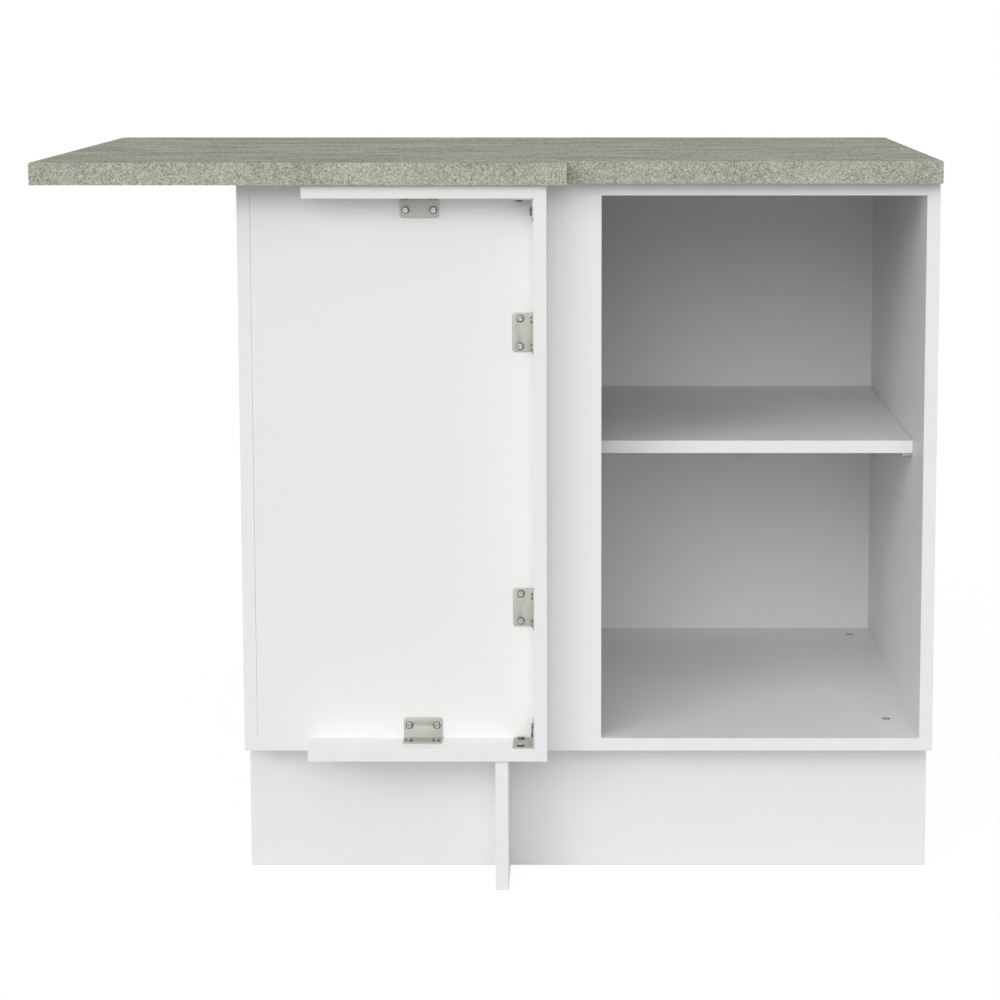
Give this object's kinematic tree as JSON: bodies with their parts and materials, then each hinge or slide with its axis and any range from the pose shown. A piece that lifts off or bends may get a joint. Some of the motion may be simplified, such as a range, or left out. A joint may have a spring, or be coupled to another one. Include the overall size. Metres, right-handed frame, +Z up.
{
  "type": "corner base cabinet",
  "caption": "Corner base cabinet with an open bay and shelf, a fixed blind panel with a spacer frame, a plinth and a stepped worktop that runs past one side.",
  "frame": {"origin": "on the floor, below the middle of the outline seen from above", "axes": "+Z up, front faces -Y, +X to the right seen from the front"},
  "size_m": [1.024, 0.633, 0.84],
  "materials": {
    "white_board": "chipboard with a smooth white melamine coating and white edge band",
    "back_hardboard": "thin hardboard, white on its inner face and brown on its outer face",
    "worktop_laminate": "chipboard with a matt grey-green stone-look laminate",
    "bracket_zinc": "zinc-plated steel strip",
    "screw_zinc": "zinc-plated steel",
    "peg_metal": "nickel-plated steel",
    "dowel_beech": "plain beech"
  },
  "bodies": {
    "root": {"left_side": "white_board", "right_side": "white_board", "bottom_panel": "white_board", "blind_panel": "white_board", "front_top_rail": "white_board", "rear_top_rail": "white_board", "shelf": "white_board", "plinth_front": "white_board", "plinth_back": "white_board", "plinth_cross_left": "white_board", "plinth_cross_middle": "white_board", "plinth_cross_right": "white_board", "support_foot": "white_board", "frame_top_rail": "white_board", "frame_bottom_rail": "white_board", "frame_stile": "white_board", "back_sheet": "back_hardboard", "worktop_left": "worktop_laminate", "worktop_right": "worktop_laminate", "bracket_top_rail": "bracket_zinc", "bracket_bottom_rail": "bracket_zinc", "bracket_stile_upper": "bracket_zinc", "bracket_stile_lower": "bracket_zinc", "bracket_corner_upper": "bracket_zinc", "bracket_corner_lower": "bracket_zinc", "bracket_screws": "screw_zinc", "worktop_screws": "screw_zinc", "side_screws": "screw_zinc", "plinth_screws": "screw_zinc", "foot_screws": "screw_zinc", "back_nails": "screw_zinc", "cam_bolts": "screw_zinc", "cam_locks": "screw_zinc", "shelf_pegs": "peg_metal", "rail_dowels": "dowel_beech", "panel_dowels": "dowel_beech", "plinth_dowels": "dowel_beech", "foot_dowel": "dowel_beech"}
  },
  "joints": []
}
